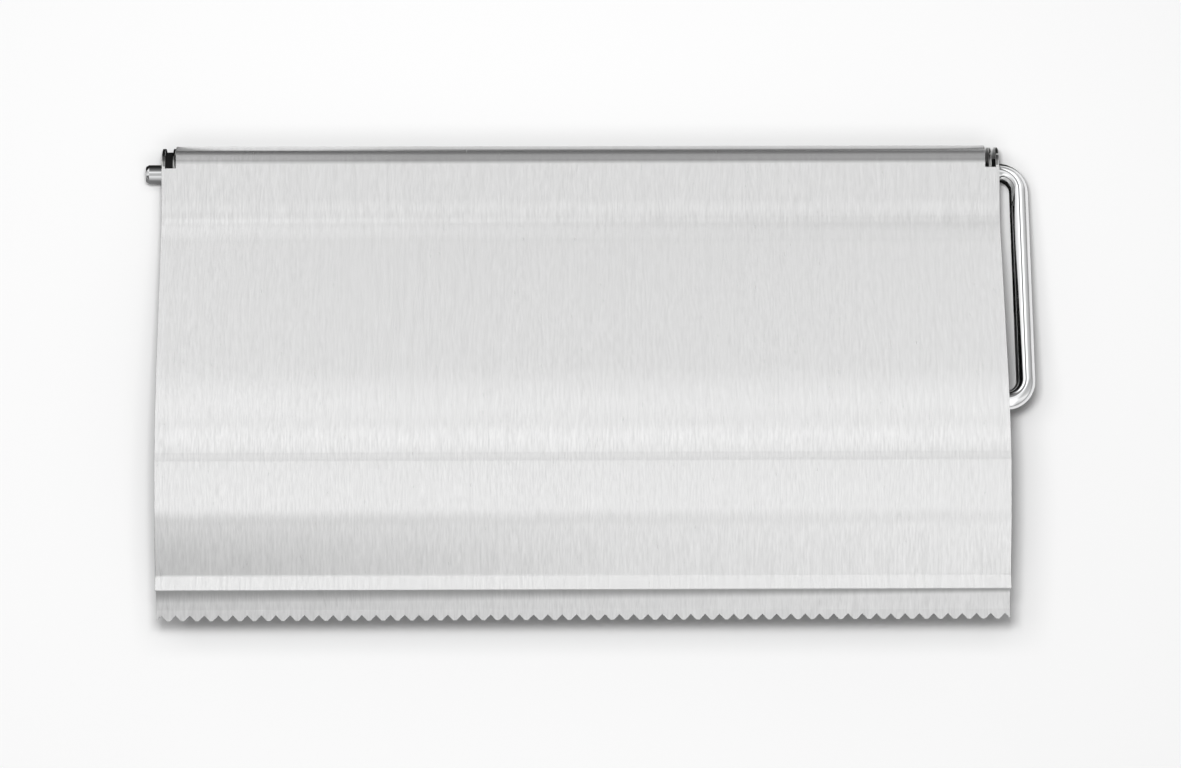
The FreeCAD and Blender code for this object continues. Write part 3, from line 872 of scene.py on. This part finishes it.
def show_where(tree, factor, shader, output):
    """Shows a shader where the factor is one, and nothing where it is nought."""
    clear = add_node(tree, "ShaderNodeBsdfTransparent")
    mixed = add_node(tree, "ShaderNodeMixShader", {"Fac": factor})
    tree.links.new(clear.outputs[0], mixed.inputs[1])
    tree.links.new(shader.outputs[0], mixed.inputs[2])
    tree.links.new(mixed.outputs[0], output.inputs["Surface"])


def wall_reflection_paint(tree):
    """Painted reflections: how bright the wall's parts are painted in the reflections of the holder.
    """
    place = add_node(tree, "ShaderNodeNewGeometry").outputs["Position"]
    spot = add_node(tree, "ShaderNodeSeparateXYZ", {"Vector": place}).outputs
    across, height = spot["X"], spot["Z"]
    under_axle = mapped(tree, height, *BELOW_AXLE, 1.0, 0.0, smooth=True)
    right = mapped(tree, across, *RIGHT_OF_LIMB, 0.0, 1.0, smooth=True)
    left = mapped(tree, across, *LEFT_OF_EAR, 0.0, LEFT_GREY, smooth=True)
    beside = maths(tree, "MULTIPLY", under_axle, maths(tree, "ADD", right, left))
    far_right = mapped(tree, across, *RIGHT_OF_BEND, 0.0, 1.0, smooth=True)
    from_middle = maths(tree, "ABSOLUTE", maths(tree, "SUBTRACT", across, NOTCHES_MIDDLE))
    between = mapped(tree, from_middle, *INSIDE_NOTCHES, 1.0, 0.0)
    glow = maths(tree, "ADD", mapped(tree, height, *HOOD_GLOW, smooth=True),
                 mapped(tree, across, *LEFT_GLOW, smooth=True), clamp=True)
    over_hood = maths(tree, "MULTIPLY", between, glow)
    return maths(tree, "MAXIMUM", maths(tree, "MAXIMUM", beside, far_right), over_hood)


def wall_material(tone):
    """White wall, seen from the room side alone, so that the holder can be looked at from behind."""
    made = bpy.data.materials.new("Studio wall")
    made.use_nodes = True
    tree = made.node_tree
    tree.nodes.clear()
    path = add_node(tree, "ShaderNodeLightPath").outputs
    # Painted shade: light that has met a matt surface, or two metal ones, sees the wall dark
    off_matt = maths(tree, "GREATER_THAN", path["Diffuse Depth"], ONE_BOUNCE)
    off_metal = maths(tree, "GREATER_THAN", path["Glossy Depth"], TWO_BOUNCES)
    unseen = maths(tree, "SUBTRACT", 1.0, wall_reflection_paint(tree))
    hidden = maths(tree, "MAXIMUM", unseen, maths(tree, "MAXIMUM", off_matt, off_metal))
    darkened = maths(tree, "MULTIPLY", hidden, path["Is Glossy Ray"])
    painted = grey_mix(tree, darkened, tone, shade(tone, WALL_REFLECTION_DARK))
    lit = add_node(tree, "ShaderNodeBsdfDiffuse", {"Color": painted})
    far_metal = maths(tree, "MULTIPLY", path["Is Glossy Ray"],
                      maths(tree, "GREATER_THAN", path["Ray Length"], TOUCHING))
    looked_at = maths(tree, "MAXIMUM", path["Is Camera Ray"], far_metal)
    behind = add_node(tree, "ShaderNodeNewGeometry").outputs["Backfacing"]
    shown = maths(tree, "MULTIPLY", looked_at, maths(tree, "SUBTRACT", 1.0, behind))
    show_where(tree, shown, lit, add_node(tree, "ShaderNodeOutputMaterial"))
    return made


FLOOR_LIFT = 0.75  # the lamps hardly reach the floor, so it is made pale for the camera
FLOOR_SHADES = (0.99, 1.01)


def floor_material(tone):
    """Pale matt floor for the camera alone: light and reflections come from the surround below."""
    made, tree, shader, place = new_material("Studio floor")
    soft = add_node(tree, "ShaderNodeTexNoise", {"Vector": place, "Scale": 3.0, "Detail": 2.0})
    tint = grey_mix(tree, soft.outputs["Fac"], *(shade(tone, patch) for patch in FLOOR_SHADES))
    fill_sockets(tree, shader, {
        "Base Color": tint, "Roughness": 0.9, "Emission Color": (*tone, 1.0),
        "Emission Strength": FLOOR_LIFT})
    looked_at = add_node(tree, "ShaderNodeLightPath").outputs["Is Camera Ray"]
    show_where(tree, looked_at, shader, tree.nodes["Material Output"])
    return made


def studio_plane(name, size, rotation, place, made):
    """A flat part of the stage."""
    clear_selection()
    bpy.ops.mesh.primitive_plane_add(size=size, location=place, rotation=rotation)
    plane = bpy.context.object
    plane.name = name
    plane.data.materials.append(made)


def sky_place(elevation):
    """Where an elevation in degrees lies on the sky's ramps."""
    return math.sin(math.radians(elevation)) * 0.5 + 0.5


def sky_stops(*greys):
    """Stops of a sky's ramp from (elevation, grey) pairs."""
    return [(sky_place(elevation), grey) for elevation, grey in greys]


# Brightness of the surround by elevation in degrees
SKY_LEVEL = 1.25
SKY_STOPS = sky_stops(
    (-90.0, 0.34), (-80.0, 0.38), (-67.0, 0.54), (-53.0, 0.66), (-40.0, 0.82), (-27.0, 1.0),
    (-18.0, 1.07), (-8.0, 1.07), (-0.6, 1.22), (0.4, 0.96), (11.0, 0.95), (18.0, 0.84),
    (24.0, 0.76), (28.0, 0.82), (33.0, 1.15), (37.0, 1.30), (42.0, 1.31), (50.0, 1.20),
    (57.0, 1.12), (64.0, 0.52), (70.0, 0.36), (80.0, 0.44), (90.0, 0.58))
BACKDROP = 0.95 / SKY_LEVEL
FILL = 0.20  # strength of the surround once its light has met a matt surface

# The dark gap that the camera and its stand leave between the panels
GAP_SIDE = (0.11, 0.15)  # its edge, as the sideways part of a direction
GAP_MIDDLE = 0.018
GAP_STOPS = sky_stops(
    (-27.0, 1.0), (-14.6, 0.52), (-2.4, 0.36), (10.0, 0.52), (20.0, 0.95), (30.0, 1.0), (36.0, 0.16))

REAR_LEVEL = 0.6  # of the surround behind the wall
REAR_EDGE = (-0.3, 0.0)  # where the front ends, as the part of a direction into the wall

# The surround's ends are dim
LEFT_EDGE = (-0.42, -0.30)
LEFT_DARK = 0.62
RIGHT_EDGE = (0.30, 0.60)
RIGHT_DARK = 0.48

# The surround's lower part is darker on the left than on the right
SIDE_FROM = (math.sin(math.radians(-16.0)), math.sin(math.radians(-4.0)))
SIDE_SPREAD = math.radians(35.0)
SIDE_DARK = 0.15
SIDE_BRIGHT = 1.55


def make_sky():
    """Studio surround: bright soft panels round the camera, a dark ceiling and a dim rear."""
    world = bpy.data.worlds.new("Studio surround")
    bpy.context.scene.world = world
    world.cycles.sampling_method = "NONE"
    world.use_nodes = True
    tree = world.node_tree
    tree.nodes.clear()
    direction = add_node(tree, "ShaderNodeTexCoord").outputs["Generated"]
    parts = add_node(tree, "ShaderNodeSeparateXYZ", {"Vector": direction}).outputs
    rise = maths(tree, "MULTIPLY_ADD", parts["Z"], 0.5, 0.5)
    panels = ramp(tree, rise, SKY_STOPS)
    heading = maths(tree, "ARCTAN2", parts["X"], maths(tree, "MULTIPLY", parts["Y"], -1.0))
    off_axis = maths(tree, "ABSOLUTE", maths(tree, "SUBTRACT", parts["X"], GAP_MIDDLE))
    beside = mapped(tree, off_axis, *GAP_SIDE, 0.0, 1.0, smooth=True)
    gap = grey_mix(tree, beside, ramp(tree, rise, GAP_STOPS), (1.0, 1.0, 1.0))
    ahead = mapped(tree, parts["Y"], *REAR_EDGE, 1.0, 0.0, smooth=True)
    under = mapped(tree, parts["Z"], *SIDE_FROM, 1.0, 0.0, smooth=True)
    low = maths(tree, "MULTIPLY", ahead, under)
    leaning = mapped(tree, heading, -SIDE_SPREAD, SIDE_SPREAD, SIDE_DARK, SIDE_BRIGHT)
    sided = maths(tree, "MULTIPLY_ADD", low, maths(tree, "SUBTRACT", leaning, 1.0), 1.0)
    far_left = mapped(tree, parts["X"], *LEFT_EDGE, LEFT_DARK, 1.0, smooth=True)
    far_right = mapped(tree, parts["X"], *RIGHT_EDGE, 1.0, RIGHT_DARK, smooth=True)
    ends = maths(tree, "MULTIPLY", far_left, far_right)
    rear = mapped(tree, ahead, 0.0, 1.0, REAR_LEVEL, 1.0)
    dimmed = maths(tree, "MULTIPLY", maths(tree, "MULTIPLY", sided, ends), rear)
    level = maths(tree, "MULTIPLY", maths(tree, "MULTIPLY", panels, gap), dimmed)
    path = add_node(tree, "ShaderNodeLightPath").outputs
    shown = grey_mix(tree, path["Is Camera Ray"], level, (BACKDROP,) * 3)
    off_matt = maths(tree, "GREATER_THAN", path["Diffuse Depth"], ONE_BOUNCE)
    lost = maths(tree, "MULTIPLY", off_matt, SKY_LEVEL - FILL)
    strength = maths(tree, "SUBTRACT", SKY_LEVEL, lost)
    background = add_node(tree, "ShaderNodeBackground", {"Color": shown, "Strength": strength})
    output = add_node(tree, "ShaderNodeOutputWorld")
    tree.links.new(background.outputs[0], output.inputs["Surface"])


# Soft lamps, all pointed at the holder's middle: place, size and watts
LAMP_TARGET = (0.0, -0.03, -0.04)
LAMPS = {
    "soft_key": ((-0.037, -1.25, 0.025), (0.11, 0.07), 7.95),
    "soft_side": ((-0.08, -1.25, 0.09), (0.44, 0.28), 5.0),
    "soft_low": ((-0.02, -1.25, -0.33), (0.40, 0.34), 2.1),
}


def add_lamp(name, place, size, watts):
    """A rectangular soft light that points at the holder."""
    data = bpy.data.lights.new(name, "AREA")
    data.shape = "RECTANGLE"
    data.size, data.size_y = size
    data.energy = watts
    lamp = bpy.data.objects.new(name, data)
    bpy.context.scene.collection.objects.link(lamp)
    lamp.location = place
    lamp.rotation_mode = "QUATERNION"
    lamp.rotation_quaternion = (Vector(LAMP_TARGET) - Vector(place)).to_track_quat("-Z", "Y")
    lamp.visible_camera = False
    lamp.visible_glossy = False


CAMERA_PLACE = Vector((-22.3, -1530.0, -43.1)) * MM
CAMERA_YAW = math.radians(0.951)
CAMERA_ROLL = math.radians(0.15)
CAMERA_REACH = (0.01, 20.0)
SENSOR_WIDTH = 36.0
UPRIGHT = math.radians(90.0)


def add_camera(studio):
    """The camera, at the place and angle that the picture was taken from."""
    data = bpy.data.cameras.new("Camera")
    data.sensor_fit = "HORIZONTAL"
    data.sensor_width = SENSOR_WIDTH
    data.lens = studio.focal
    data.clip_start, data.clip_end = CAMERA_REACH
    camera = bpy.data.objects.new("Camera", data)
    bpy.context.scene.collection.objects.link(camera)
    camera.location = CAMERA_PLACE
    camera.rotation_euler = (UPRIGHT, CAMERA_ROLL, -CAMERA_YAW)
    bpy.context.scene.camera = camera


# Operators

WALL_SIZE = 6.0
WALL_GAP = 0.3 * MM  # between the wall plate's back and the wall
FLOOR_SIZE = 24.0


class TOWELHOLDER_OT_studio(bpy.types.Operator):
    """Add the wall, the floor, the surround, the soft lights and the camera"""

    bl_idname = "towel_holder.studio"
    bl_label = "Studio"

    def execute(self, context):
        studio = context.scene.towel_holder_studio
        studio_plane("studio_wall", WALL_SIZE, (UPRIGHT, 0.0, 0.0), (0.0, WALL_GAP, 0.0),
                     wall_material(studio.wall))
        studio_plane("studio_floor", FLOOR_SIZE, (0.0, 0.0, 0.0), (0.0, 0.0, -studio.floor_drop),
                     floor_material(studio.floor))
        make_sky()
        for name, (place, size, watts) in LAMPS.items():
            add_lamp(name, place, size, watts)
        add_camera(studio)
        context.scene.view_settings.view_transform = "Standard"
        return {"FINISHED"}


class TOWELHOLDER_OT_cover(bpy.types.Operator):
    """Fold the hinged cover out of one sheet"""

    bl_idname = "towel_holder.cover"
    bl_label = "Hinged cover"

    def execute(self, context):
        piece = build_cover(context.scene.towel_holder_cover)
        finish_piece(piece, "cover", ["cover"], material("cover"))
        return {"FINISHED"}


class TOWELHOLDER_OT_strip(bpy.types.Operator):
    """Stamp the serrated strip behind the cover's lip"""

    bl_idname = "towel_holder.strip"
    bl_label = "Serrated strip"

    def execute(self, context):
        scene = context.scene
        piece = build_strip(scene.towel_holder_strip, scene.towel_holder_cover)
        finish_piece(piece, "cover", ["tear_strip"], material("strip"))
        return {"FINISHED"}


class TOWELHOLDER_OT_rod(bpy.types.Operator):
    """Bend the rod that is both the hinge axle and the roll's arm"""

    bl_idname = "towel_holder.rod"
    bl_label = "Bent rod"

    def execute(self, context):
        piece = build_rod(context.scene.towel_holder_rod)
        finish_piece(piece, "arm", ["roll_arm"], material("rod"))
        return {"FINISHED"}


class TOWELHOLDER_OT_wall_plate(bpy.types.Operator):
    """Dress the wall plate with its ears and lip"""

    bl_idname = "towel_holder.wall_plate"
    bl_label = "Wall plate"

    def execute(self, context):
        piece = dressed_copy("back_plate", "wall_plate_sheet", PLATE_ROUND)
        finish_piece(piece, "wall_plate", ["back_plate"], material("plate"))
        return {"FINISHED"}


class TOWELHOLDER_OT_hinge_tabs(bpy.types.Operator):
    """Dress the two hinge tabs inside the cover"""

    bl_idname = "towel_holder.hinge_tabs"
    bl_label = "Hinge tabs"

    def execute(self, context):
        for side in ("left", "right"):
            node = "hinge_tab_" + side
            piece = dressed_copy(node, "tab_" + side, TAB_ROUND)
            finish_piece(piece, "cover", [node], material("tab"))
        return {"FINISHED"}


# Which body carries each nylon part
NYLON_PARTS = {
    "ear_bush_left": "wall_plate",
    "ear_bush_right": "wall_plate",
    "cover_bush_left": "cover",
    "cover_bush_right": "cover",
    "arm_stop_cam": "arm",
}


class TOWELHOLDER_OT_nylon_parts(bpy.types.Operator):
    """Dress the four flanged bushes and the stop cam"""

    bl_idname = "towel_holder.nylon_parts"
    bl_label = "Nylon parts"

    def execute(self, context):
        for node, body in NYLON_PARTS.items():
            piece = dressed_copy(node, node + "_moulding", MOULDING_ROUND)
            finish_piece(piece, body, [node], material("nylon"))
        return {"FINISHED"}


class TOWELHOLDER_PT_sidebar(bpy.types.Panel):
    """Sizes, finishes and building steps of the towel holder"""

    bl_idname = "TOWELHOLDER_PT_sidebar"
    bl_label = "Towel Holder"
    bl_space_type = "VIEW_3D"
    bl_region_type = "UI"
    bl_category = "Towel Holder"

    def draw(self, context):
        layout = self.layout
        for name, kind in SETTINGS.items():
            box = layout.box()
            box.label(text=kind.__doc__.splitlines()[0])
            for title in kind.__annotations__:
                box.prop(getattr(context.scene, name), title)
        for operator in OPERATORS:
            layout.operator(operator.bl_idname)


SETTINGS = {
    "towel_holder_cover": TowelHolderCoverSizes,
    "towel_holder_strip": TowelHolderStripSizes,
    "towel_holder_rod": TowelHolderRodSizes,
    "towel_holder_finish": TowelHolderFinish,
    "towel_holder_studio": TowelHolderStudio,
}
OPERATORS = (
    TOWELHOLDER_OT_cover,
    TOWELHOLDER_OT_strip,
    TOWELHOLDER_OT_rod,
    TOWELHOLDER_OT_wall_plate,
    TOWELHOLDER_OT_hinge_tabs,
    TOWELHOLDER_OT_nylon_parts,
    TOWELHOLDER_OT_studio,
)


def register():
    for kind in (*SETTINGS.values(), *OPERATORS, TOWELHOLDER_PT_sidebar):
        bpy.utils.register_class(kind)
    for name, kind in SETTINGS.items():
        setattr(bpy.types.Scene, name, bpy.props.PointerProperty(type=kind))


def unregister():
    for name in SETTINGS:
        delattr(bpy.types.Scene, name)
    for kind in (TOWELHOLDER_PT_sidebar, *reversed(OPERATORS), *reversed(SETTINGS.values())):
        bpy.utils.unregister_class(kind)


def main():
    """Builds the holder piece by piece, then the stage."""
    register()
    bpy.ops.towel_holder.cover()
    bpy.ops.towel_holder.strip()
    bpy.ops.towel_holder.rod()
    bpy.ops.towel_holder.wall_plate()
    bpy.ops.towel_holder.hinge_tabs()
    bpy.ops.towel_holder.nylon_parts()
    bpy.ops.towel_holder.studio()


if __name__ == "__main__":
    main()
